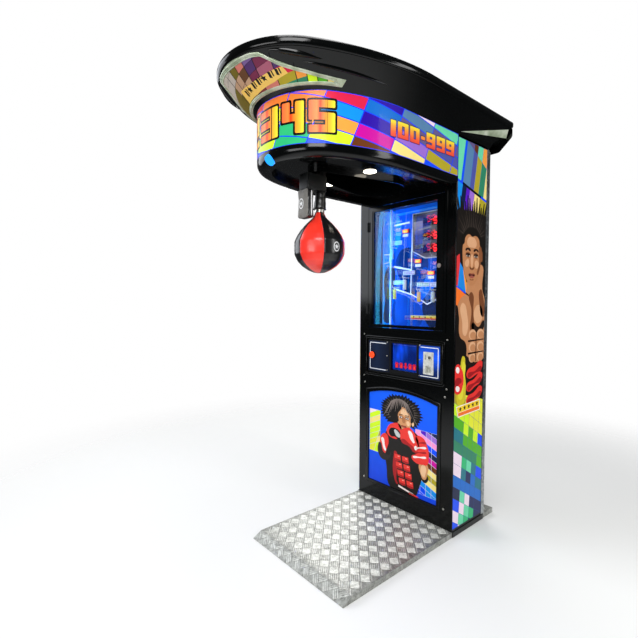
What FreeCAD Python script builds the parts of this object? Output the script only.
import FreeCAD, Part
import math
import os
from FreeCAD import Rotation, Vector

# Boxing punch machine. Millimetres, +Z up. The player stands on the platform at -Y and faces +Y,
# with +X to the right. The origin lies on the floor, in the middle plane, directly below the
# front face of the cabinet.

# ---- driving dimensions ----
CAB_W = 700.0            # cabinet and platform width
CAB_D = 327.0            # cabinet depth
CAB_TOP = 2158.0         # top of the side panels
PANEL = 18.0             # board thickness of the cabinet
SHEET = 3.0              # sheet thickness of covers

PLATFORM_TOP = 28.0      # height of the tread plate
PLATFORM_FRONT = 773.0   # reach of the level part of the plate in front of the cabinet
PLATFORM_LIP = 52.0      # further reach of the sloped front lip
PLATFORM_REAR = 121.0    # reach of the plate behind the cabinet
TUBE = 24.0              # platform frame tube

WIN_W = 465.0            # visible glass width
WIN_CX = -5.5            # glass centre
WIN_Z0 = 1145.0
WIN_Z1 = 1850.0
DOOR_FRAME = 40.0        # width of the window door's frame members
DOOR_GAP = 3.0

CTRL_X0 = -279.0
CTRL_X1 = 270.0
CTRL_Z0 = 840.0
CTRL_Z1 = 1050.0
HATCH_X0 = -83.0
HATCH_X1 = 104.0
HATCH_Z0 = 871.0
HATCH_Z1 = 1035.0
BUTTON_X = -235.0
BUTTON_Z = 949.0
BUTTON_R = 22.0
COIN_X0 = 151.0
COIN_X1 = 219.0
COIN_Z0 = 874.0
COIN_Z1 = 1003.0

GRAPHIC_X0 = -264.0
GRAPHIC_X1 = 250.0
GRAPHIC_Z0 = 140.0
GRAPHIC_Z1 = 705.0
GRAPHIC_RISE = 38.0      # rise of the arched top edge
MOULD = 22.0             # width of the raised mouldings on the front
MOULD_H = 6.0            # how far they stand out

HEAD_TIP = 965.0         # reach of the head's nose in front of the cabinet
HEAD_STRAIGHT = 420.0    # straight part of the head's side
HEAD_NOSE_R = 290.0
BAND_Z0 = 1948.0
BAND_Z1 = 2168.0
RIM_Z0 = 1900.0          # bottom of the bullnose rim
RIM_W = 70.0             # width of the rim seen from below
RIM_ROUND = 36.0
UNDER_Z = 1926.0         # underside of the flat ceiling panel

CANOPY_W = 920.0
CANOPY_TIP = 1165.0
CANOPY_STRAIGHT = 360.0
CANOPY_NOSE_R = 350.0
CANOPY_REAR = CAB_D + 56.0
CANOPY_EDGE_Z0 = 2262.0
CANOPY_TOP = 2305.0
CANOPY_ROUND = 18.0
CANOPY_WALL = 4.0
FIN_Z0 = 2150.0

PIVOT_Y = -645.0         # swing axis of the bag arm, along X
PIVOT_Z = 1955.0
SHAFT_R = 10.0
SHAFT_HALF = 110.0
RUN_FIT = 0.05           # radial clearance of every running fit
SEAT = 0.3               # clearance between neighbours on different bodies
ARM_R = 14.0
BAG_R = 132.5
BAG_TOP = 1721.0
BAG_H = 300.0
BAG_Y = -660.0
POCKET_R = 152.0         # radius of the bag's recess
POCKET_Y = -250.0
POCKET_NECK_R = 52.0
POCKET_NECK_Y = PIVOT_Y - 20.0
POCKET_TOP = 2092.0
POCKET_WALL = 3.0
LIP_Z = 1905.0
PAD_X = 40.0
PAD_Y0 = -775.0
PAD_Y1 = -720.0
PAD_Z0 = 1680.0
PAD_Z1 = 1820.0
RAIL_X = 255.0           # head frame rails
RAIL = 30.0

SHELF_LOW_Z = 1085.0
SHELF_T = 15.0
DISPLAY_Y = 200.0        # front face of the display's back panel
DISPLAY_T = 8.0
DOOR_REAR_Z0 = 163.0
DOOR_REAR_Z1 = 1900.0

HALF_W = CAB_W / 2
INNER = HALF_W - PANEL
SHELF_HIGH_Z = WIN_Z1 + DOOR_FRAME
OPEN_X0 = WIN_CX - WIN_W / 2 - DOOR_FRAME
OPEN_X1 = WIN_CX + WIN_W / 2 + DOOR_FRAME + 9.0
OPEN_Z0 = WIN_Z0 - DOOR_FRAME / 2
OPEN_Z1 = WIN_Z1 + DOOR_FRAME * 0.8

X_AXIS = Vector(1, 0, 0)
Y_AXIS = Vector(0, 1, 0)
Z_AXIS = Vector(0, 0, 1)


# ---- helpers ----
def box(x0, x1, y0, y1, z0, z1):
    """Box between two corners."""
    return Part.makeBox(x1 - x0, y1 - y0, z1 - z0, Vector(x0, y0, z0))


def rod(x, y, z, axis, r, length):
    """Cylinder that starts at a point and runs along an axis."""
    return Part.makeCylinder(r, length, Vector(x, y, z), axis)


def ring(x, y, z, axis, r_out, r_in, length):
    """Hollow cylinder."""
    return rod(x, y, z, axis, r_out, length).cut(rod(x, y, z, axis, r_in, length))


def face_front(points, y):
    """Flat face in a vertical plane that faces the player, from X, Z points."""
    return Part.Face(Part.makePolygon([Vector(x, y, z) for x, z in points + points[:1]]))


def rounded_plate(x0, x1, y0, y1, z0, z1, r):
    """Plate standing upright with its four vertical-plane corners rounded."""
    plate = box(x0, x1, y0, y1, z0, z1)
    edges = [e for e in plate.Edges if abs(e.tangentAt(e.FirstParameter).y) > 0.9]
    return plate.makeFillet(r, edges)


def edges_at(shape, test):
    """Edges whose whole bounding box passes a test."""
    return [e for e in shape.Edges if test(e.BoundBox)]


def union(shapes):
    """One solid from touching solids."""
    return shapes[0].multiFuse(shapes[1:]).removeSplitter()


def group(shapes):
    """Separate solids that share a node."""
    return Part.makeCompound(shapes)


def mirrored(shape):
    """Copy on the other side of the middle plane."""
    return shape.mirror(Vector(0, 0, 0), X_AXIS)


def head_outline(half, y_straight, tip, nose_r, y_back, z):
    """Plan outline with straight sides, side arcs and a nose arc, all tangent."""
    centre_y = -tip + nose_r
    d = -y_straight - centre_y
    side_r = (half ** 2 + d ** 2 - nose_r ** 2) / (2 * (half - nose_r))
    side_cx = half - side_r
    away = Vector(-side_cx, centre_y + y_straight, 0).normalize()
    touch = Vector(0, centre_y, z) + away * nose_r
    mid_angle = math.atan2(away.y, away.x) / 2
    side_mid = Vector(side_cx + side_r * math.cos(mid_angle), -y_straight + side_r * math.sin(mid_angle), z)
    right = Vector(half, -y_straight, z)

    def flip(p):
        return Vector(-p.x, p.y, p.z)

    edges = [
        Part.LineSegment(Vector(half, y_back, z), right).toShape(),
        Part.Arc(right, side_mid, touch).toShape(),
        Part.Arc(touch, Vector(0, -tip, z), flip(touch)).toShape(),
        Part.Arc(flip(touch), flip(side_mid), flip(right)).toShape(),
        Part.LineSegment(flip(right), Vector(-half, y_back, z)).toShape(),
        Part.LineSegment(Vector(-half, y_back, z), Vector(half, y_back, z)).toShape(),
    ]
    return Part.Wire(edges)


def head_slab(inset, z0, z1, y_back=0.0):
    """Solid slab of the head's plan, drawn in by an inset on the sides and nose."""
    wire = head_outline(HALF_W - inset, HEAD_STRAIGHT, HEAD_TIP - inset, HEAD_NOSE_R - inset, y_back, z0)
    return Part.Face(wire).extrude(Vector(0, 0, z1 - z0))


def canopy_wire(inset, z, y_back):
    """Plan outline of the canopy's edge."""
    return head_outline(CANOPY_W / 2 - inset, CANOPY_STRAIGHT, CANOPY_TIP - inset, CANOPY_NOSE_R - inset,
                        y_back, z)


def pocket_half(y):
    """Half width of the recess between its two circles."""
    lean = math.asin((POCKET_R - POCKET_NECK_R) / (POCKET_Y - POCKET_NECK_Y))
    return (POCKET_R - (POCKET_Y - y) * math.sin(lean)) / math.cos(lean)


def pocket_slab(grow, z0, z1):
    """Keyhole plan of the bag's recess: a large circle and a small one with their tangents."""
    big = POCKET_R + grow
    small = POCKET_NECK_R + grow
    neck_y = POCKET_NECK_Y
    lean = math.asin((big - small) / (POCKET_Y - neck_y))
    c, s = math.cos(lean), math.sin(lean)
    b1 = Vector(big * c, POCKET_Y - big * s, z0)
    n1 = Vector(small * c, neck_y - small * s, z0)
    b2 = Vector(-b1.x, b1.y, z0)
    n2 = Vector(-n1.x, n1.y, z0)
    edges = [
        Part.Arc(b1, Vector(0, POCKET_Y + big, z0), b2).toShape(),
        Part.LineSegment(b2, n2).toShape(),
        Part.Arc(n2, Vector(0, neck_y - small, z0), n1).toShape(),
        Part.LineSegment(n1, b1).toShape(),
    ]
    return Part.Face(Part.Wire(edges)).extrude(Vector(0, 0, z1 - z0))


# ---- platform ----
def platform_frame():
    """Welded tubes under the tread plate, as separate lengths."""
    top = PLATFORM_TOP - SHEET
    side = HALF_W - SHEET - 1.0
    front = -PLATFORM_FRONT + 8.0
    rear = CAB_D + PLATFORM_REAR - SHEET - 1.0
    parts = [box(-side, -side + TUBE, front, rear, 0, top), box(side - TUBE, side, front, rear, 0, top)]
    for y in (front, -TUBE / 2, rear - TUBE):
        parts.append(box(-side + TUBE, side - TUBE, y, y + TUBE, 0, top))
    return group(parts)


def tread_plate():
    """Folded aluminium tray: level plate, side and rear flanges, sloped front lip."""
    rear = CAB_D + PLATFORM_REAR
    top = PLATFORM_TOP
    plate = box(-HALF_W, HALF_W, -PLATFORM_FRONT, rear, top - SHEET, top)
    walls = [box(s * HALF_W if s < 0 else HALF_W - SHEET, s * HALF_W + SHEET if s < 0 else HALF_W,
                 -PLATFORM_FRONT, rear, 0, top - SHEET) for s in (-1, 1)]
    walls.append(box(-HALF_W + SHEET, HALF_W - SHEET, rear - SHEET, rear, 0, top - SHEET))
    lip_out = [Vector(-HALF_W, -PLATFORM_FRONT, top), Vector(-HALF_W, -PLATFORM_FRONT - PLATFORM_LIP, 0),
               Vector(-HALF_W, -PLATFORM_FRONT - PLATFORM_LIP + 2 * SHEET, 0),
               Vector(-HALF_W, -PLATFORM_FRONT, top - SHEET)]
    lip = Part.Face(Part.makePolygon(lip_out + lip_out[:1])).extrude(Vector(CAB_W, 0, 0))
    cheek = [Vector(0, -PLATFORM_FRONT, top), Vector(0, -PLATFORM_FRONT - PLATFORM_LIP, 0),
             Vector(0, -PLATFORM_FRONT, 0)]
    for x in (-HALF_W, HALF_W - SHEET):
        side = Part.Face(Part.makePolygon(cheek + cheek[:1])).extrude(Vector(SHEET, 0, 0))
        side.translate(Vector(x, 0, 0))
        walls.append(side)
    return union([plate, lip] + walls)


# ---- cabinet ----
def side_panel(sign):
    """Side board; the right one has the mortise that the rear lock's cam turns into."""
    x0 = INNER if sign > 0 else -HALF_W
    board = box(x0, x0 + PANEL, PANEL, CAB_D, PLATFORM_TOP, CAB_TOP)
    if sign < 0:
        return board
    depth = REAR_LOCK_X + REAR_CAM - INNER + 3
    y_in = CAB_D - PANEL
    return board.cut(box(INNER, INNER + depth, y_in - 6.5, y_in, REAR_LOCK_Z - 12, REAR_LOCK_Z + REAR_CAM))


def cabinet_board(z0, thickness, y1):
    """Horizontal board between the side panels, behind the front."""
    return box(-INNER, INNER, PANEL, y1, z0, z0 + thickness)


def moulding(x0, x1, z0, z1, r):
    """Raised rounded frame on the face of the front."""
    outer = rounded_plate(x0 - MOULD, x1 + MOULD, -MOULD_H, 0, z0 - MOULD, z1 + MOULD, r + MOULD / 2)
    front = edges_at(outer, lambda b: b.YMax < -MOULD_H + 0.01)
    outer = outer.makeFillet(MOULD_H * 0.7, front)
    return outer.cut(rounded_plate(x0, x1, -MOULD_H, 0, z0, z1, r))


def arched_plate(grow, y0, y1):
    """Lower graphic's shape: a rectangle with an arched top edge."""
    x0, x1 = GRAPHIC_X0 - grow, GRAPHIC_X1 + grow
    z0, z1 = GRAPHIC_Z0 - grow, GRAPHIC_Z1 + grow
    a, b = Vector(x0, y0, z1), Vector(x1, y0, z1)
    edges = [
        Part.LineSegment(Vector(x0, y0, z0), a).toShape(),
        Part.Arc(a, Vector((x0 + x1) / 2, y0, z1 + GRAPHIC_RISE), b).toShape(),
        Part.LineSegment(b, Vector(x1, y0, z0)).toShape(),
        Part.LineSegment(Vector(x1, y0, z0), Vector(x0, y0, z0)).toShape(),
    ]
    return Part.Face(Part.Wire(edges)).extrude(Vector(0, y1 - y0, 0))


def front_fascia():
    """Moulded front with the window opening, the control opening and the graphic's recess."""
    front = box(-HALF_W, HALF_W, 0, PANEL, PLATFORM_TOP, CAB_TOP)
    corners = edges_at(front, lambda b: b.YMax < 0.01 and b.XLength < 0.01)
    front = front.makeFillet(6.0, corners)
    frames = [moulding(CTRL_X0, CTRL_X1, CTRL_Z0, CTRL_Z1, 8.0)]
    arch = arched_plate(MOULD, -MOULD_H, 0)
    arch = arch.makeFillet(MOULD_H * 0.7, edges_at(arch, lambda b: b.YMax < -MOULD_H + 0.01))
    frames.append(arch)
    step = WINDOW_STEP
    frames.append(rounded_plate(OPEN_X0 - step, OPEN_X1 + step, -WD_PROUD, 0, OPEN_Z0 - step, OPEN_Z1 + step, 12))
    front = union([front] + frames)
    front = front.cut(rounded_plate(OPEN_X0, OPEN_X1, -MOULD_H, PANEL, OPEN_Z0, OPEN_Z1, 6.0))
    front = front.cut(box(CTRL_X0 + 8, CTRL_X1 - 8, 0, PANEL, CTRL_Z0 + 8, CTRL_Z1 - 8))
    front = front.cut(rounded_plate(CTRL_X0, CTRL_X1, -MOULD_H, 4.0, CTRL_Z0, CTRL_Z1, 8.0))
    return front.cut(arched_plate(0, -MOULD_H, 4.0))


INLET_X = -251.0
INLET_W = 28.0
INLET_H = 24.0


def inlet_height():
    return (PLATFORM_TOP + PANEL + DOOR_REAR_Z0) / 2


def rear_rails():
    """Fixed boards above and below the rear door."""
    y0 = CAB_D - PANEL
    low = box(-INNER, INNER, y0, CAB_D, PLATFORM_TOP + PANEL, DOOR_REAR_Z0 - DOOR_GAP)
    x, z = INLET_X, inlet_height()
    return group([
        low.cut(box(x - INLET_W / 2, x + INLET_W / 2, y0, CAB_D, z - INLET_H / 2, z + INLET_H / 2)),
        box(-INNER, INNER, y0, CAB_D, DOOR_REAR_Z1 + DOOR_GAP, CAB_TOP - PANEL),
    ])


def rear_door():
    y0 = CAB_D - PANEL
    door = box(-INNER + DOOR_GAP, INNER - DOOR_GAP, y0, CAB_D, DOOR_REAR_Z0, DOOR_REAR_Z1)
    return door.cut(rod(REAR_LOCK_X, y0, REAR_LOCK_Z, Y_AXIS, LOCK_R + RUN_FIT, PANEL))


REAR_LOCK_X = INNER - 40.0
REAR_LOCK_Z = 1050.0
REAR_CAM = 44.0
LOCK_R = 9.0
REAR_HINGE_Z = (400.0, 1000.0, 1650.0)
REAR_HINGE_X = -INNER + DOOR_GAP / 2
HINGE_TALL = 60.0
LEAF_W = 15.0
HINGE_R = 5.0
HINGE_PIN_R = 2.5
LEAF_T = 2.0
HINGE_GAP = 0.4


def hinge_set(x, y, z_list, tall, leaf_y, width):
    """Butt hinges about a vertical pin: fixed leaves with their pins, and moving leaves.

    The outer two knuckles belong to the fixed leaf, on the -X side, and the middle one to the
    moving leaf. leaf_y gives each leaf's lowest and highest Y.
    """
    fixed, moving = [], []
    third = tall / 3
    for z in z_list:
        z0 = z - tall / 2
        pin = rod(x, y, z0, Z_AXIS, HINGE_PIN_R, tall)
        bore = rod(x, y, z0, Z_AXIS, HINGE_PIN_R + RUN_FIT, tall)
        for sign, mine, others in ((-1, (0, 2), (1,)), (1, (1,), (0, 2))):
            a, b = sorted((x, x + sign * width))
            leaf = box(a, b, leaf_y[0], leaf_y[1], z0 + HINGE_GAP, z0 + tall - HINGE_GAP)
            for i in others:
                leaf = leaf.cut(rod(x, y, z0 + i * third - HINGE_GAP, Z_AXIS, HINGE_R + 1.0,
                                    third + 2 * HINGE_GAP))
            knuckles = [rod(x, y, z0 + i * third + HINGE_GAP, Z_AXIS, HINGE_R, third - 2 * HINGE_GAP)
                        for i in mine]
            part = union([leaf] + knuckles).cut(pin if sign < 0 else bore)
            (fixed if sign < 0 else moving).append(part)
        fixed.append(pin)
    return group(fixed), group(moving)


def corner_profiles():
    """Aluminium angles on the rear vertical edges of the side panels."""
    right = box(HALF_W, HALF_W + 1.5, CAB_D - 20, CAB_D, PLATFORM_TOP, CAB_TOP)
    return group([right, mirrored(right)])


def rear_posts():
    """Black steel rails behind the side panels, with the canopy standing on them."""
    right = box(INNER + 1, HALF_W, CAB_D, CAB_D + 14, PLATFORM_TOP, FIN_Z0)
    left = mirrored(right)
    for z in REAR_HINGE_Z:
        half = HINGE_TALL / 2 + 2
        left = left.cut(box(-HALF_W + 3, -INNER, CAB_D, CAB_D + HINGE_R * 2 + 1, z - half, z + half))
    return group([right, left])


# ---- window door ----
WD_X0 = OPEN_X0 + DOOR_GAP
WD_X1 = OPEN_X1 - DOOR_GAP
WD_Z0 = OPEN_Z0 + DOOR_GAP
WD_Z1 = OPEN_Z1 - DOOR_GAP
WD_PROUD = 4.0
WINDOW_STEP = 16.0       # width of the raised step round the window door
GLASS_T = 4.0
GLASS_Y = 6.0
LOCK_X = WIN_CX + WIN_W / 2 + 19.5
LOCK_Z = 1487.0
WINDOW_HINGE_Z = (1240.0, 1760.0)
WINDOW_HINGE_X = OPEN_X0 + DOOR_GAP / 2
WINDOW_HINGE_Y = -WD_PROUD - HINGE_R


def glass_rect(grow, y0, y1):
    return box(WIN_CX - WIN_W / 2 - grow, WIN_CX + WIN_W / 2 + grow, y0, y1, WIN_Z0 - grow * 0.8,
               WIN_Z1 + grow * 0.8)


def window_door_frame():
    """Stepped black frame with a closed groove that holds the glass."""
    frame = rounded_plate(WD_X0, WD_X1, -WD_PROUD, PANEL - 4, WD_Z0, WD_Z1, 5.0)
    frame = frame.cut(glass_rect(8.0, -WD_PROUD, 0))
    frame = frame.cut(glass_rect(0, -WD_PROUD, PANEL))
    frame = frame.cut(glass_rect(10.0, GLASS_Y, GLASS_Y + GLASS_T))
    return frame.cut(rod(LOCK_X, -WD_PROUD, LOCK_Z, Y_AXIS, LOCK_R + SEAT, PANEL * 2))


def window_glass():
    return glass_rect(10.0, GLASS_Y, GLASS_Y + GLASS_T)


def lock_barrel(x, y_face, z, depth):
    """Fixed barrel with its round flange."""
    flange = ring(x, y_face - 2.0, z, Y_AXIS, LOCK_R + 3, 5.0 + RUN_FIT, 2.0)
    body = ring(x, y_face, z, Y_AXIS, LOCK_R, 5.0 + RUN_FIT, depth)
    return union([flange, body])


def lock_plug(x, y_face, z, depth, cam):
    """Turning plug with a key slot in front and the cam behind, upright in the unlocked position."""
    plug = rod(x, y_face - 2.0, z, Y_AXIS, 5.0, depth + 6.0)
    plug = plug.cut(box(x - 0.8, x + 0.8, y_face - 2.0, y_face, z - 3.5, z + 3.5))
    tab = box(x - 7, x + 7, y_face + depth + 1.0, y_face + depth + 3.5, z - 7, z + cam)
    return union([plug, tab])


# ---- controls ----
PLATE_Y0 = 0.0
PLATE_T = 3.0


def control_panel():
    """Black steel plate behind the control opening, with its holes."""
    plate = rounded_plate(CTRL_X0 + 1, CTRL_X1 - 1, PLATE_Y0, PLATE_Y0 + PLATE_T, CTRL_Z0 + 1, CTRL_Z1 - 1, 7)
    plate = plate.cut(box(HATCH_X0, HATCH_X1, PLATE_Y0, PLATE_Y0 + PLATE_T, HATCH_Z0, HATCH_Z1))
    plate = plate.cut(rod(BUTTON_X, PLATE_Y0, BUTTON_Z, Y_AXIS, BUTTON_R - 6, PLATE_T))
    return plate.cut(box(COIN_X0 + 4, COIN_X1 - 4, PLATE_Y0, PLATE_Y0 + PLATE_T, COIN_Z0 + 4, COIN_Z1 - 4))


OVERLAY_T = 1.0
OVERLAY_IN = 10.0
SCREW_X = 20.0


def overlay_left():
    """Dark blue printed plate round the start button."""
    x1 = HATCH_X0 - 2 * SCREW_X
    plate = box(CTRL_X0 + OVERLAY_IN, x1, -OVERLAY_T, 0, CTRL_Z0 + OVERLAY_IN, CTRL_Z1 - OVERLAY_IN)
    return plate.cut(rod(BUTTON_X, -OVERLAY_T, BUTTON_Z, Y_AXIS, BUTTON_R - 6, OVERLAY_T))


def overlay_right():
    """Blue printed plate round the coin mechanism."""
    x0 = HATCH_X1 + 2 * SCREW_X - 14
    plate = box(x0, CTRL_X1 - OVERLAY_IN, -OVERLAY_T, 0, CTRL_Z0 + OVERLAY_IN, CTRL_Z1 - OVERLAY_IN)
    return plate.cut(box(COIN_X0 + 4, COIN_X1 - 4, -OVERLAY_T, 0, COIN_Z0 + 4, COIN_Z1 - 4))


STEM_R = 13.0


def button_bezel():
    """Low ring and threaded barrel that guide the button's stem."""
    flange = rod(BUTTON_X, -OVERLAY_T - 3, BUTTON_Z, Y_AXIS, BUTTON_R, 3)
    barrel = rod(BUTTON_X, -OVERLAY_T, BUTTON_Z, Y_AXIS, BUTTON_R - 6 - SEAT, 30)
    body = union([flange, barrel])
    return body.cut(rod(BUTTON_X, -10, BUTTON_Z, Y_AXIS, STEM_R + RUN_FIT, 60))


BUTTON_TRAVEL = 4.0


def start_button():
    """Domed cap on a stem."""
    y_cap = -OVERLAY_T - 3 - BUTTON_TRAVEL - 0.4
    cap = rod(BUTTON_X, y_cap - 6, BUTTON_Z, Y_AXIS, BUTTON_R - 1, 6)
    cap = cap.makeFillet(3.0, edges_at(cap, lambda b: b.YMax < y_cap - 5.9))
    stem = rod(BUTTON_X, y_cap, BUTTON_Z, Y_AXIS, STEM_R, 28)
    return union([cap, stem])


def button_nut():
    return ring(BUTTON_X, PLATE_Y0 + PLATE_T, BUTTON_Z, Y_AXIS, BUTTON_R, BUTTON_R - 6, 6)


def button_switch():
    """Microswitch in its holder behind the button."""
    y0 = -OVERLAY_T + 30
    return union([box(BUTTON_X - 14, BUTTON_X + 14, y0, y0 + 4, BUTTON_Z - 14, BUTTON_Z + 14),
                  box(BUTTON_X - 10, BUTTON_X + 10, y0 + 4, y0 + 30, BUTTON_Z - 6, BUTTON_Z + 6)])


def hatch_frame():
    """Black frame round the prize hatch, standing on the control panel."""
    outer = rounded_plate(HATCH_X0 - 14, HATCH_X1 + 14, -4, 0, HATCH_Z0 - 14, HATCH_Z1 + 10, 5)
    outer = outer.cut(box(HATCH_X0, HATCH_X1, -4, 0, HATCH_Z0, HATCH_Z1))
    return outer


FLAP_Y = 8.0
FLAP_T = 3.0
FLAP_PIN_R = 2.5
CHUTE_Y0 = 22.0
CHUTE_Y1 = 150.0


def flap_hinge_point():
    return FLAP_Y + FLAP_T / 2, HATCH_Z1 - 6


def prize_flap():
    """Clear blue flap with a hinge tube along its top edge."""
    y, z = flap_hinge_point()
    pane = box(HATCH_X0 + 4, HATCH_X1 - 4, FLAP_Y, FLAP_Y + FLAP_T, HATCH_Z0 + 2, z)
    tube = rod(HATCH_X0 + 4, y, z, X_AXIS, FLAP_PIN_R + 2.5, HATCH_X1 - HATCH_X0 - 8)
    body = union([pane, tube])
    return body.cut(rod(HATCH_X0, y, z, X_AXIS, FLAP_PIN_R + RUN_FIT, HATCH_X1 - HATCH_X0))


def flap_pin():
    """Steel rod of the flap, held in two ears on the control panel's back."""
    y, z = flap_hinge_point()
    return rod(HATCH_X0 - 6, y, z, X_AXIS, FLAP_PIN_R, HATCH_X1 - HATCH_X0 + 12)


def flap_ears():
    y, z = flap_hinge_point()
    left = box(HATCH_X0 - 5, HATCH_X0 - 2, PLATE_Y0 + PLATE_T, y + 8, z - 7, z + 7)
    right = box(HATCH_X1 + 2, HATCH_X1 + 5, PLATE_Y0 + PLATE_T, y + 8, z - 7, z + 7)
    pin = rod(HATCH_X0 - 20, y, z, X_AXIS, FLAP_PIN_R, HATCH_X1 - HATCH_X0 + 40)
    return group([left.cut(pin), right.cut(pin)])


def prize_chute():
    """Sheet-metal bin below the display: a steep back, a gently sloped floor and two cheeks."""
    x0, x1 = HATCH_X0 - 8, HATCH_X1 + 8
    front, floor_z = (CHUTE_Y0, HATCH_Z0 - 2), 14.0
    heel = (CHUTE_Y1, front[1] + floor_z)
    top = (DISPLAY_Y - 6, SHELF_LOW_Z)
    t = 2.0
    sheet = [front, heel, top, (top[0] + t, top[1]), (heel[0] + t, heel[1] - t), (front[0], front[1] - t)]
    back = Part.Face(Part.makePolygon([Vector(x0, y, z) for y, z in sheet + sheet[:1]]))
    back = back.extrude(Vector(x1 - x0, 0, 0))
    cheek = [front, (CHUTE_Y0, HATCH_Z1 + 4), (CHUTE_Y0 + 30, top[1]), top, heel]
    cheeks = []
    for x in (x0, x1 - t):
        side = Part.Face(Part.makePolygon([Vector(x, y, z) for y, z in cheek + cheek[:1]]))
        cheeks.append(side.extrude(Vector(t, 0, 0)))
    return union([back] + cheeks)


def coin_face():
    """Steel face of the coin mechanism with its slot, button hole and return cup."""
    plate = rounded_plate(COIN_X0, COIN_X1, -OVERLAY_T - 3, -OVERLAY_T, COIN_Z0, COIN_Z1, 3)
    plate = plate.cut(box(COIN_X0 + 14, COIN_X0 + 17, -9, 2, COIN_Z1 - 46, COIN_Z1 - 16))
    plate = plate.cut(rod(COIN_X1 - 22, -9, COIN_Z1 - 30, Y_AXIS, 9 + SEAT, 12))
    cup = box(COIN_X0 + 16, COIN_X1 - 16, -OVERLAY_T - 3, 0, COIN_Z0 + 10, COIN_Z0 + 48)
    return plate.cut(cup)


COIN_TRAVEL = 5.0


def coin_return_button():
    """Square-shouldered return button that presses in."""
    y0 = -OVERLAY_T - 3 - COIN_TRAVEL - 3
    return rod(COIN_X1 - 22, y0, COIN_Z1 - 30, Y_AXIS, 9, 14)


def coin_return_cup():
    """Pressed-steel cup behind the face where rejected coins land."""
    x0, x1, z0, z1 = COIN_X0 + 12, COIN_X1 - 12, COIN_Z0 + 6, COIN_Z0 + 52
    cup = box(x0, x1, -OVERLAY_T, 26, z0, z1)
    return cup.cut(box(x0 + 4, x1 - 4, -OVERLAY_T, 24, z0 + 4, z1 - 4))


def coin_mech():
    """Validator body with the coin passage running down through it."""
    x0, x1 = COIN_X0 + 6, COIN_X1 - 6
    body = box(x0, x1, 27, 108, COIN_Z0 + 4, COIN_Z1 - 4)
    body = body.cut(box(x0 + 8, x0 + 18, 40, 90, COIN_Z0 + 4, COIN_Z1 - 20))
    neck = box(x0, x0 + 22, -OVERLAY_T, 27, COIN_Z1 - 50, COIN_Z1 - 10)
    neck = neck.cut(box(x0 + 8, x0 + 11, -OVERLAY_T, 27, COIN_Z1 - 46, COIN_Z1 - 16))
    return union([body, neck])


def coin_chute():
    """Square duct from the mechanism to the cash box."""
    x0, x1 = COIN_X0 + 6, COIN_X0 + 46
    duct = box(x0, x1, 36, 96, COIN_BOX_Z1 + 10, COIN_Z0 + 4)
    return duct.cut(box(x0 + 2, x1 - 2, 38, 94, COIN_BOX_Z1 + 10, COIN_Z0 + 4))


COIN_SHELF_Z = 400.0
COIN_BOX_Z1 = 560.0


def coin_shelf():
    return box(40, INNER, PANEL, CAB_D - PANEL - 10, COIN_SHELF_Z, COIN_SHELF_Z + SHELF_T)


def coin_box():
    """Open steel cash box with a handle tab at the back."""
    z0 = COIN_SHELF_Z + SHELF_T
    tray = box(80, 300, 30, 260, z0, COIN_BOX_Z1)
    tray = tray.cut(box(82, 298, 32, 258, z0 + 2, COIN_BOX_Z1))
    return union([tray, box(150, 230, 260, 272, COIN_BOX_Z1 - 40, COIN_BOX_Z1 - 36)])


def lower_graphic():
    return arched_plate(-0.5, 1.5, 4.0)


def panel_screws():
    """Domed screws of the hatch frame and the lower panel's corner bolts."""
    heads = []
    z_mid = (HATCH_Z0 + HATCH_Z1) / 2
    for x in (HATCH_X0 - 2 * SCREW_X + 6, HATCH_X1 + SCREW_X):
        for z in (HATCH_Z0 - 8, z_mid, HATCH_Z1 + 2):
            heads.append(rod(x, -3.5, z, Y_AXIS, 4.5, 3.5))
    for x in (GRAPHIC_X0 - MOULD - 16, GRAPHIC_X1 + MOULD + 22):
        for z in (GRAPHIC_Z0, GRAPHIC_Z1 + 60):
            heads.append(rod(x, -4, z, Y_AXIS, 6, 4))
    for x in (CTRL_X0 - MOULD - 8, CTRL_X1 + MOULD + 12):
        for z in (CTRL_Z0 - MOULD - 8, CTRL_Z1 + MOULD + 8):
            heads.append(rod(x, -4, z, Y_AXIS, 5, 4))
    return group([h.makeFillet(2.0, edges_at(h, lambda b: b.YMax < -3.4)) for h in heads])


# ---- display ----
def display_back():
    return box(-INNER, INNER, DISPLAY_Y, DISPLAY_Y + DISPLAY_T, SHELF_LOW_Z + SHELF_T, SHELF_HIGH_Z)


def display_floor():
    """Floor board of the display with the prize drop cut out."""
    board = cabinet_board(SHELF_LOW_Z, SHELF_T, DISPLAY_Y + DISPLAY_T + 60)
    return board.cut(box(HATCH_X0, HATCH_X1, PANEL + 40, DISPLAY_Y - 10, SHELF_LOW_Z, SHELF_LOW_Z + SHELF_T))


HEX_X0, HEX_X1 = -66.0, 190.0
HEX_Z0, HEX_Z1 = 1556.0, 1836.0
HEX_T = 26.0


def scoreboard():
    """Six-sided score housing on the back panel."""
    cut = 48.0
    pts = [(HEX_X0, HEX_Z0 + cut), (HEX_X0 + cut * 2, HEX_Z0), (HEX_X1 - cut, HEX_Z0), (HEX_X1, HEX_Z0 + cut),
           (HEX_X1, HEX_Z1 - cut), (HEX_X1 - cut, HEX_Z1), (HEX_X0, HEX_Z1)]
    body = face_front(pts, DISPLAY_Y - HEX_T).extrude(Vector(0, HEX_T, 0))
    for z in DIGIT_Z:
        body = body.cut(box(DIGIT_X0, DIGIT_X1, DISPLAY_Y - HEX_T, DISPLAY_Y - HEX_T + 6, z, z + DIGIT_H))
    return body


DIGIT_X0, DIGIT_X1, DIGIT_H = 10.0, 150.0, 52.0
DIGIT_Z = (1586.0, 1662.0, 1752.0)


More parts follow.
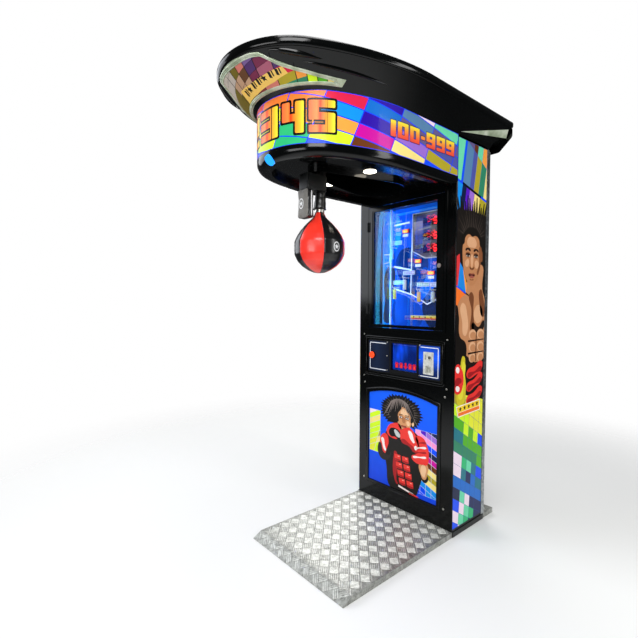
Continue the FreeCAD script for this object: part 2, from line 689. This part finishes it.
def digit_modules():
    """Display modules set in the scoreboard."""
    y0 = DISPLAY_Y - HEX_T + 1
    return group([box(DIGIT_X0 + 1, DIGIT_X1 - 1, y0, y0 + 5, z + 1, z + DIGIT_H - 1) for z in DIGIT_Z])


COUNTERS = ((-131, 1728), (-31, 1530), (66, 1452))


def counter_modules():
    """Small three-figure counters beside the prize hooks."""
    return group([box(x - 26, x + 26, DISPLAY_Y - 16, DISPLAY_Y, z, z + 24) for x, z in COUNTERS])


HOOKS = ((-215, 1640), (-110, 1440), (0, 1362), (100, 1360), (-190, 1380))
HOOK_R = 2.5
HOOK_L = 70.0
TAG_H = 26.0


def prize_hooks():
    """Chromed hooks with upturned ends on the back panel."""
    hooks = []
    for x, z in HOOKS:
        bar = rod(x, DISPLAY_Y - HOOK_L, z, Y_AXIS, HOOK_R, HOOK_L)
        end = rod(x, DISPLAY_Y - HOOK_L + HOOK_R, z - HOOK_R, Z_AXIS, HOOK_R, 16)
        hooks.append(union([bar, end]))
    return group(hooks)


def prize_tags():
    """Coloured label strips over the hooks."""
    return group([box(x - 46, x + 46, DISPLAY_Y - 5, DISPLAY_Y, z + 20, z + 20 + TAG_H) for x, z in HOOKS])


def prize_fobs():
    """Key-fob prizes that hang on the hooks by their rings."""
    fobs = []
    for x, z in HOOKS:
        y = DISPLAY_Y - HOOK_L + 24
        hoop = Part.makeTorus(9.0, 1.2, Vector(x, y, z + HOOK_R + 1.2 - 9.0 + SEAT), Y_AXIS)
        z_top = z + HOOK_R + 1.2 - 9.0 + SEAT - 9.0
        fob = box(x - 13, x + 13, y - 5, y + 5, z_top - 62, z_top + 1)
        fob = fob.makeFillet(4.5, edges_at(fob, lambda b: b.YLength < 0.01 and b.XLength < 0.01))
        fobs.append(union([fob, hoop]))
    return group(fobs)


POST_X = -243.0
POST_R = 7.0


def display_post():
    """White guide post beside the rack."""
    return rod(POST_X, DISPLAY_Y - 22, SHELF_LOW_Z + SHELF_T, Z_AXIS, POST_R,
               SHELF_HIGH_Z - SHELF_LOW_Z - SHELF_T)


def prize_shelf():
    """Yellow printed ledge at the display's lower right."""
    return box(-60, 200, DISPLAY_Y - 46, DISPLAY_Y, 1176, 1202)


def led_strips():
    """Light strips standing on both side walls of the display."""
    right = box(INNER - 8, INNER, 40, 52, SHELF_LOW_Z + SHELF_T, SHELF_HIGH_Z)
    return group([right, mirrored(right)])


# ---- electrics ----
def control_board():
    y0 = DISPLAY_Y + DISPLAY_T
    board = box(-120, 120, y0 + 8, y0 + 10, 1400, 1600)
    posts = [rod(x, y0, z, Y_AXIS, 4, 8) for x in (-110, 110) for z in (1410, 1590)]
    chips = [box(x, x + 40, y0 + 10, y0 + 18, z, z + 30) for x, z in ((-100, 1430), (-20, 1500), (50, 1540))]
    return union([board] + posts + chips)


def power_supply():
    z0 = PLATFORM_TOP + PANEL
    return box(-260, -100, 120, 220, z0, z0 + 50)


def mains_inlet():
    """Earthed inlet in the lower rear board."""
    x, z, w, h = INLET_X, inlet_height(), INLET_W / 2, INLET_H / 2
    depth = CAB_D - 30
    body = box(x - w, x + w, depth, CAB_D, z - h, z + h)
    flange = box(x - w - 10, x + w + 10, CAB_D, CAB_D + 3, z - h - 3, z + h + 3)
    mouth = box(x - w + 3, x + w - 3, depth + 16, CAB_D + 3, z - h + 3, z + h - 3)
    pins = [box(x + i - 1, x + i + 1, depth + 16, CAB_D - 2, z - 4, z + 4) for i in (-6, 0, 6)]
    return union([union([body, flange]).cut(mouth)] + pins)


# ---- head ----
def band():
    """Printed wrap-round wall of the head."""
    return head_slab(0, BAND_Z0, BAND_Z1).cut(head_slab(SHEET, BAND_Z0, BAND_Z1))


def lamp_frame():
    """Foot and axis of the front lamp, on the rim's 45 degree point at the nose."""
    r = RIM_ROUND
    foot = Vector(0, -HEAD_TIP + r * (1 - math.cos(math.pi / 4)), RIM_Z0 + r * (1 - math.sin(math.pi / 4)))
    return foot, Vector(0, -1, -1).normalize()


LAMP_R = 25.0


def head_rim():
    """Bullnose moulding below the band, hollow above."""
    outer = head_slab(0, RIM_Z0, BAND_Z0)
    low = edges_at(outer, lambda b: b.ZMax < RIM_Z0 + 0.01 and b.YMin < -1)
    outer = outer.makeFillet(RIM_ROUND, low)
    rim = outer.cut(head_slab(RIM_W, RIM_Z0, BAND_Z0))
    pocket = head_slab(RIM_W - 34, RIM_Z0 + 10, BAND_Z0, -6.0).cut(head_slab(RIM_W - 6, RIM_Z0, BAND_Z0))
    rim = rim.cut(pocket)
    foot, out = lamp_frame()
    start = foot - out * 22
    return rim.cut(Part.makeCylinder(LAMP_R + SEAT, 60, start, out))


def front_lamp_bezel():
    foot, out = lamp_frame()
    return Part.makeCylinder(LAMP_R, 25, foot - out * 22, out).cut(
        Part.makeCylinder(LAMP_R - 6, 21, foot - out * 18, out))


def front_lamp_lens():
    foot, out = lamp_frame()
    lens = Part.makeCylinder(LAMP_R - 6 - SEAT, 19, foot - out * 18, out)
    return lens


LIGHT_Y = -465.0
LIGHT_R = 26.0
LIGHT_FLANGE = 5.0       # how far the flange reaches past the lamp's body
RECESS_GAP = 4.0         # least room between the recess and what stands beside it
LIGHT_X = max(152.0, pocket_half(LIGHT_Y + LIGHT_R) + POCKET_WALL + LIGHT_R + LIGHT_FLANGE + RECESS_GAP)


def ceiling_panel():
    """Glossy flat underside with the bag recess and the lamp holes."""
    plate = head_slab(RIM_W + SEAT, UNDER_Z, UNDER_Z + 4)
    plate = plate.cut(pocket_slab(POCKET_WALL + SEAT, UNDER_Z, UNDER_Z + 4))
    for sign in (-1, 1):
        plate = plate.cut(rod(sign * LIGHT_X, LIGHT_Y, UNDER_Z, Z_AXIS, LIGHT_R + SEAT, 4))
    return plate


def ceiling_brackets():
    """Angles that hang the ceiling panel and the rim from the head frame's rails."""
    parts = []
    for sign in (-1, 1):
        for y in (-560.0, -160.0):
            x = sign * RAIL_X
            parts.append(box(x - 2, x + 2, y - 15, y + 15, UNDER_Z + 4, RAIL_Z0))
    return group(parts)


def downlights():
    """Recessed lamps with a flange below the ceiling."""
    lamps = []
    for sign in (-1, 1):
        body = rod(sign * LIGHT_X, LIGHT_Y, UNDER_Z, Z_AXIS, LIGHT_R, 34)
        flange = rod(sign * LIGHT_X, LIGHT_Y, UNDER_Z - 3, Z_AXIS, LIGHT_R + LIGHT_FLANGE, 3)
        lamps.append(union([body, flange]))
    return group(lamps)


def bag_recess():
    """Deep keyhole pan that takes the bag and arm when they swing up."""
    pan = pocket_slab(POCKET_WALL, LIP_Z, POCKET_TOP + POCKET_WALL).cut(pocket_slab(0, LIP_Z, POCKET_TOP))
    return pan.cut(rod(-SHAFT_HALF, PIVOT_Y, PIVOT_Z, X_AXIS, SHAFT_R + 3, 2 * SHAFT_HALF))


RAIL_Z0 = POCKET_TOP + POCKET_WALL + 3.0
RAIL_FRONT = 740.0
CROSS_REAR_Y = -300.0


def head_rails():
    """Two cantilever tubes that carry the head from the cabinet."""
    right = box(RAIL_X - RAIL / 2, RAIL_X + RAIL / 2, -RAIL_FRONT, -WALL_PLATE_T, RAIL_Z0, RAIL_Z0 + RAIL)
    wall = 3.0
    hollow = box(RAIL_X - RAIL / 2 + wall, RAIL_X + RAIL / 2 - wall, -RAIL_FRONT, -WALL_PLATE_T,
                 RAIL_Z0 + wall, RAIL_Z0 + RAIL - wall)
    right = right.cut(hollow)
    return group([right, mirrored(right)])


WALL_PLATE_T = 6.0


def head_wall_plate():
    """Steel plate bolted to the cabinet's front that the rails are welded to."""
    return box(-RAIL_X - 40, RAIL_X + 40, -WALL_PLATE_T, 0, RAIL_Z0 - 60, RAIL_Z0 + RAIL + 10)


def head_cross_bars():
    """Bars between the rails: over the pivot, at the nose and over the recess."""
    inner = RAIL_X - RAIL / 2
    return group([box(-inner, inner, y - RAIL / 2, y + RAIL / 2, RAIL_Z0, RAIL_Z0 + RAIL)
                  for y in (PIVOT_Y, -RAIL_FRONT + RAIL / 2, CROSS_REAR_Y)])


def canopy_flank():
    """Flared wall from the band's top edge out to the canopy's edge."""
    def loft(inset):
        low = head_outline(HALF_W - inset, HEAD_STRAIGHT, HEAD_TIP - inset, HEAD_NOSE_R - inset,
                           CAB_D - inset, BAND_Z1)
        high = canopy_wire(inset + 8, CANOPY_EDGE_Z0, CANOPY_REAR - 8 - inset)
        return Part.makeLoft([low, high], True, True)
    return loft(0).cut(loft(CANOPY_WALL))


def canopy_top():
    """Broad top with a thick rounded edge, hollow below."""
    slab = Part.Face(canopy_wire(0, CANOPY_EDGE_Z0, CANOPY_REAR)).extrude(
        Vector(0, 0, CANOPY_TOP - CANOPY_EDGE_Z0))
    slab = slab.makeFillet(CANOPY_ROUND, edges_at(slab, lambda b: b.YMin < CANOPY_REAR - 1 and b.ZLength < 0.01))
    inner = Part.Face(canopy_wire(30, CANOPY_EDGE_Z0, CANOPY_REAR - 30)).extrude(
        Vector(0, 0, CANOPY_TOP - CANOPY_EDGE_Z0 - CANOPY_WALL))
    return slab.cut(inner)


def canopy_rear():
    """Upright panel that closes the head behind, with a fin at each side."""
    top = CANOPY_EDGE_Z0
    half = CANOPY_W / 2 - 4
    foot = HALF_W + 30
    pts = [(-half, top), (-half, FIN_Z0 + 70), (-foot, FIN_Z0), (foot, FIN_Z0), (half, FIN_Z0 + 70), (half, top)]
    panel = face_front(pts, CANOPY_REAR - 6).extrude(Vector(0, 6, 0))
    low = [e for e in panel.Edges if e.BoundBox.YLength > 5 and e.BoundBox.ZMax < top - 10]
    return panel.makeFillet(24.0, low)


SIGN_FOOT = 10.0         # clear of the band's top edge
SIGN_HEAD = 4.0          # clear of the canopy's edge
SIGN_BACK = 380.0        # from the canopy's tip back to the sign's square ends
SIGN_TAIL = 20.0         # height of those ends
SIGN_CROWN = 25.0        # where the full height starts, behind the tip
SIGN_EDGE = ((331, 22), (229, 31), (182, 40), (134, 52), (110, 59), (61, 73))


def sign_panel():
    """Curved sign round the front of the flank, ending in a point at each side."""
    def loft(grow):
        low = head_outline(HALF_W + grow, HEAD_STRAIGHT, HEAD_TIP + grow, HEAD_NOSE_R + grow, 0, BAND_Z1)
        high = canopy_wire(8 - grow, CANOPY_EDGE_Z0, 0)
        return Part.makeLoft([low, high], True, True)
    skin = loft(SHEET).cut(loft(SEAT))
    z0, z1 = BAND_Z1 + SIGN_FOOT, CANOPY_EDGE_Z0 - SIGN_HEAD
    side = -CANOPY_W
    front, tail = -CANOPY_TIP - 50, -CANOPY_TIP + SIGN_BACK
    upper = [Vector(side, tail, z0 + SIGN_TAIL)]
    upper += [Vector(side, -CANOPY_TIP + back, z0 + rise) for back, rise in SIGN_EDGE]
    upper += [Vector(side, -CANOPY_TIP + SIGN_CROWN, z1), Vector(side, front, z1)]
    curve = Part.BSplineCurve()
    curve.interpolate(upper)
    foot = [Vector(side, front, z0), Vector(side, tail, z0)]
    edges = [Part.LineSegment(foot[0], foot[1]).toShape(), Part.LineSegment(foot[1], upper[0]).toShape(),
             curve.toShape(), Part.LineSegment(upper[-1], foot[0]).toShape()]
    region = Part.Face(Part.Wire(edges)).extrude(Vector(2 * CANOPY_W, 0, 0))
    return skin.common(region)


# ---- bag mechanism ----
BEARING_R = 20.0
BEARING_X = max(68.0, pocket_half(PIVOT_Y + BEARING_R) + POCKET_WALL + RECESS_GAP)
BEARING_W = 16.0
BRACKET_X = BEARING_X + BEARING_W
BRACKET_T = 6.0


def pivot_bracket():
    """Two hanging cheeks that hold the bearings."""
    cheeks = []
    for sign in (-1, 1):
        x0 = BRACKET_X if sign > 0 else -BRACKET_X - BRACKET_T
        cheek = box(x0, x0 + BRACKET_T, PIVOT_Y - 40, PIVOT_Y + 40, UNDER_Z + 4.5, RAIL_Z0)
        cheeks.append(cheek.cut(rod(x0, PIVOT_Y, PIVOT_Z, X_AXIS, SHAFT_R + 2, BRACKET_T)))
    return group(cheeks)


def pivot_bearings():
    """Flanged plain bearings on the cheeks."""
    parts = []
    for sign in (-1, 1):
        x0 = BEARING_X if sign > 0 else -BEARING_X - BEARING_W
        parts.append(ring(x0, PIVOT_Y, PIVOT_Z, X_AXIS, BEARING_R, SHAFT_R + RUN_FIT, BEARING_W))
    return group(parts)


def pivot_shaft():
    return rod(-SHAFT_HALF, PIVOT_Y, PIVOT_Z, X_AXIS, SHAFT_R, 2 * SHAFT_HALF)


COLLAR_Z1 = BAG_TOP + 14.0
HUB_R = 22.0
HUB_HALF = 34.0


def swing_arm():
    """Hub on the shaft and a leaning tube down to the bag's collar."""
    hub = ring(-HUB_HALF, PIVOT_Y, PIVOT_Z, X_AXIS, HUB_R, SHAFT_R, 2 * HUB_HALF)
    lean = Vector(0, BAG_Y - PIVOT_Y, COLLAR_Z1 - PIVOT_Z)
    tube = Part.makeCylinder(ARM_R, lean.Length, Vector(0, PIVOT_Y, PIVOT_Z), lean)
    arm = union([hub, tube])
    return arm.cut(rod(-40, PIVOT_Y, PIVOT_Z, X_AXIS, SHAFT_R, 80)).common(
        box(-60, 60, PIVOT_Y - 80, PIVOT_Y + 60, COLLAR_Z1, PIVOT_Z + 60))


def arm_line(z):
    """Point of the arm's centre line at a height."""
    t = (z - PIVOT_Z) / (COLLAR_Z1 - PIVOT_Z)
    return Vector(0, PIVOT_Y + (BAG_Y - PIVOT_Y) * t, z)


SLEEVE_TOP = 1925.0
SLEEVE_MID = 1850.0


def arm_sleeve():
    """Soft black sleeve over the arm, wider towards the bag."""
    a, b, c = arm_line(SLEEVE_TOP), arm_line(SLEEVE_MID), arm_line(COLLAR_Z1 + SEAT)
    upper = Part.makeCone(22, 20, (b - a).Length, a, b - a)
    lower = Part.makeCone(20, 27, (c - b).Length, b, c - b)
    bore = Part.makeCylinder(ARM_R + SEAT, 400, Vector(0, PIVOT_Y, PIVOT_Z), c - a)
    hub = rod(-HUB_HALF - 2, PIVOT_Y, PIVOT_Z, X_AXIS, HUB_R + SEAT, 2 * HUB_HALF + 4)
    below = box(-60, 60, BAG_Y - 60, PIVOT_Y + 60, COLLAR_Z1 - 60, COLLAR_Z1 + SEAT)
    return union([upper, lower]).cut(bore).cut(hub).cut(below)


def pad_bracket():
    """Black clamp block between the sleeve and the striking pad's top."""
    block = box(-PAD_X + 6, PAD_X - 6, PAD_Y0 + 12, PIVOT_Y + 4, PAD_Z1, PAD_Z1 + 72)
    block = block.makeFillet(8.0, [e for e in block.Edges if e.BoundBox.ZLength > 60])
    a, c = arm_line(SLEEVE_TOP), arm_line(COLLAR_Z1)
    hollow = Part.makeCylinder(22 + SEAT, 400, Vector(0, PIVOT_Y, PIVOT_Z), c - a)
    return block.cut(hollow)


def arm_pad():
    """Flat rubber pad in front of the arm."""
    pad = box(-PAD_X, PAD_X, PAD_Y0, PAD_Y1, PAD_Z0, PAD_Z1)
    return pad.makeFillet(6.0, pad.Edges)


def bag_collar():
    """Steel collar that joins the bag's neck to the arm."""
    low = rod(0, BAG_Y, BAG_TOP + SEAT, Z_AXIS, 24, COLLAR_Z1 - BAG_TOP - SEAT)
    return low.makeFillet(2.0, low.Edges[:1])


def bag():
    """Teardrop ball: a round belly and a neck that rises to the collar."""
    z0 = BAG_TOP - BAG_H
    belly = z0 + BAG_R * 0.94
    pts = [Vector(0, 0, z0), Vector(60, 0, z0 + 16), Vector(112, 0, z0 + 58), Vector(BAG_R, 0, belly),
           Vector(118, 0, belly + 62), Vector(80, 0, belly + 112), Vector(40, 0, belly + 150),
           Vector(25, 0, BAG_TOP)]
    curve = Part.BSplineCurve()
    curve.interpolate(Points=pts, InitialTangent=Vector(1, 0, 0), FinalTangent=Vector(-0.25, 0, 1))
    edges = [curve.toShape(), Part.LineSegment(pts[-1], Vector(0, 0, BAG_TOP)).toShape(),
             Part.LineSegment(Vector(0, 0, BAG_TOP), pts[0]).toShape()]
    solid = Part.Face(Part.Wire(edges)).revolve(Vector(0, 0, 0), Z_AXIS, 360)
    solid.translate(Vector(0, BAG_Y, 0))
    return solid


CAM_X = BRACKET_X + BRACKET_T + 3.0
CAM_T = 8.0
CAM_REACH = 44.0
DISC_SET = 8.0
BOLT_R = 5.0
BOLT_HEIGHT = 35.0


def latch_cam():
    """Cam with one tooth that the latch bolt holds when the bag is up."""
    hub = rod(CAM_X, PIVOT_Y, PIVOT_Z, X_AXIS, 18, CAM_T)
    tooth = box(CAM_X, CAM_X + CAM_T, PIVOT_Y, PIVOT_Y + CAM_REACH, PIVOT_Z - 7, PIVOT_Z + 7)
    tooth.rotate(Vector(0, PIVOT_Y, PIVOT_Z), X_AXIS, 22)
    return union([hub, tooth]).cut(rod(CAM_X, PIVOT_Y, PIVOT_Z, X_AXIS, SHAFT_R, CAM_T))


def latch_bolt():
    x0 = CAM_X + CAM_T + 1.0
    return rod(x0, PIVOT_Y, PIVOT_Z + BOLT_HEIGHT, X_AXIS, BOLT_R, 46)


def latch_solenoid():
    """Solenoid body on a plate that hangs from the cross bar."""
    x0 = CAM_X + CAM_T + 8.0
    z = PIVOT_Z + BOLT_HEIGHT
    body = box(x0, x0 + 34, PIVOT_Y - 15, PIVOT_Y + 15, z - 15, z + 15)
    plate = box(x0, x0 + 34, PIVOT_Y - 15, PIVOT_Y + 15, z + 15, RAIL_Z0)
    return union([body, plate]).cut(rod(x0, PIVOT_Y, z, X_AXIS, BOLT_R + RUN_FIT, 60))


def sensor_disc():
    """Slotted disc on the shaft that times the swing."""
    x0 = -CAM_X - DISC_SET
    disc = rod(x0, PIVOT_Y, PIVOT_Z, X_AXIS, 24, 3)
    for k in range(12):
        slot = box(x0, x0 + 3, PIVOT_Y - 1.5, PIVOT_Y + 1.5, PIVOT_Z + 18, PIVOT_Z + 30)
        slot.rotate(Vector(0, PIVOT_Y, PIVOT_Z), X_AXIS, 30 * k)
        disc = disc.cut(slot)
    return disc.cut(rod(x0, PIVOT_Y, PIVOT_Z, X_AXIS, SHAFT_R, 3))


def swing_sensor():
    """Fork sensor over the disc, on a strip from the cross bar."""
    x0 = -CAM_X - DISC_SET - 4
    body = box(x0, x0 + 11, PIVOT_Y - 8, PIVOT_Y + 8, PIVOT_Z + 14, PIVOT_Z + 40)
    body = body.cut(box(x0 + 3, x0 + 8, PIVOT_Y - 8, PIVOT_Y + 8, PIVOT_Z + 14, PIVOT_Z + 30))
    strip = box(x0, x0 + 11, PIVOT_Y - 8, PIVOT_Y + 8, PIVOT_Z + 40, RAIL_Z0)
    return union([body, strip])


def rear_lock():
    """Turning plug in the rear door with the cam inside, upright in the unlocked position."""
    y_in = CAB_D - PANEL
    plug = rod(REAR_LOCK_X, y_in - 6, REAR_LOCK_Z, Y_AXIS, LOCK_R, PANEL + 8)
    knob = rod(REAR_LOCK_X, CAB_D + 1, REAR_LOCK_Z, Y_AXIS, LOCK_R + 4, 3)
    slot = box(REAR_LOCK_X - 0.8, REAR_LOCK_X + 0.8, CAB_D + 1, CAB_D + 4, REAR_LOCK_Z - 3.5, REAR_LOCK_Z + 3.5)
    cam = box(REAR_LOCK_X - 9, REAR_LOCK_X + 9, y_in - 5, y_in - 1, REAR_LOCK_Z - 9, REAR_LOCK_Z + REAR_CAM)
    return union([plug, knob, cam]).cut(slot)


def loudspeaker():
    """Loudspeaker on the display's back panel."""
    y0 = DISPLAY_Y + DISPLAY_T
    return union([rod(-220, y0, 1500, Y_AXIS, 40, 18), rod(-220, y0 + 18, 1500, Y_AXIS, 24, 16)])


def head_frame():
    """Welded steel structure of the head, as its separate lengths and plates."""
    return group([head_rails(), head_wall_plate(), head_cross_bars(), ceiling_brackets(), pivot_bracket()])


# ---- build ----
def build():
    """All nodes by name."""
    rear_hinge = hinge_set(REAR_HINGE_X, CAB_D + HINGE_R, REAR_HINGE_Z, HINGE_TALL,
                           (CAB_D, CAB_D + LEAF_T), LEAF_W)
    window_hinge = hinge_set(WINDOW_HINGE_X, WINDOW_HINGE_Y, WINDOW_HINGE_Z, HINGE_TALL,
                             (-WD_PROUD - LEAF_T, -WD_PROUD), LEAF_W)
    return {
        "platform_frame": platform_frame(),
        "tread_plate": tread_plate(),
        "side_panels": group([side_panel(-1), side_panel(1)]),
        "cabinet_boards": group([
            cabinet_board(PLATFORM_TOP, PANEL, CAB_D),
            cabinet_board(CAB_TOP - PANEL, PANEL, CAB_D),
            cabinet_board(SHELF_HIGH_Z, SHELF_T, DISPLAY_Y + DISPLAY_T + 60),
            display_floor(),
            coin_shelf(),
        ]),
        "rear_rails": rear_rails(),
        "rear_door": rear_door(),
        "rear_hinge_fixed": rear_hinge[0],
        "rear_hinge_moving": rear_hinge[1],
        "rear_lock": rear_lock(),
        "rear_corner_trims": group([corner_profiles(), rear_posts()]),
        "front_fascia": front_fascia(),
        "window_door_frame": window_door_frame(),
        "window_glass": window_glass(),
        "window_hinge_fixed": window_hinge[0],
        "window_hinge_moving": window_hinge[1],
        "window_lock_barrel": lock_barrel(LOCK_X, -WD_PROUD, LOCK_Z, 22),
        "window_lock_plug": lock_plug(LOCK_X, -WD_PROUD, LOCK_Z, 22, 44),
        "control_panel": control_panel(),
        "printed_overlays": group([overlay_left(), overlay_right()]),
        "button_bezel": button_bezel(),
        "start_button": start_button(),
        "button_nut_and_switch": group([button_nut(), button_switch()]),
        "hatch_frame": group([hatch_frame(), flap_pin(), flap_ears()]),
        "prize_flap": prize_flap(),
        "prize_chute": prize_chute(),
        "coin_face": group([coin_face(), coin_return_cup()]),
        "coin_return_button": coin_return_button(),
        "coin_mech_and_chute": group([coin_mech(), coin_chute()]),
        "coin_box": coin_box(),
        "lower_graphic": lower_graphic(),
        "panel_screws": panel_screws(),
        "display_back": display_back(),
        "scoreboard": scoreboard(),
        "display_modules": group([digit_modules(), counter_modules()]),
        "prize_rack": group([prize_hooks(), display_post(), prize_shelf(), prize_tags()]),
        "prize_fobs": prize_fobs(),
        "led_strips": led_strips(),
        "electronics": group([control_board(), power_supply(), mains_inlet(), loudspeaker()]),
        "head_frame": head_frame(),
        "band": band(),
        "head_rim": head_rim(),
        "front_lamp": group([front_lamp_bezel(), front_lamp_lens()]),
        "ceiling_panel": ceiling_panel(),
        "downlights": downlights(),
        "bag_recess": bag_recess(),
        "canopy_flank": canopy_flank(),
        "canopy_top": canopy_top(),
        "canopy_rear": canopy_rear(),
        "sign_panel": sign_panel(),
        "pivot_bearings": pivot_bearings(),
        "pivot_shaft": pivot_shaft(),
        "shaft_cams": group([latch_cam(), sensor_disc()]),
        "latch_solenoid": group([latch_solenoid(), swing_sensor()]),
        "latch_bolt": latch_bolt(),
        "swing_arm": swing_arm(),
        "arm_sleeve": arm_sleeve(),
        "pad_bracket": pad_bracket(),
        "arm_pad": arm_pad(),
        "bag_collar": bag_collar(),
        "bag": bag(),
    }


def main():
    os.makedirs("parts", exist_ok=True)
    for name, shape in build().items():
        if not shape.isValid():
            print("not valid:", name)
        shape.exportStep("parts/" + name + ".step")


main()
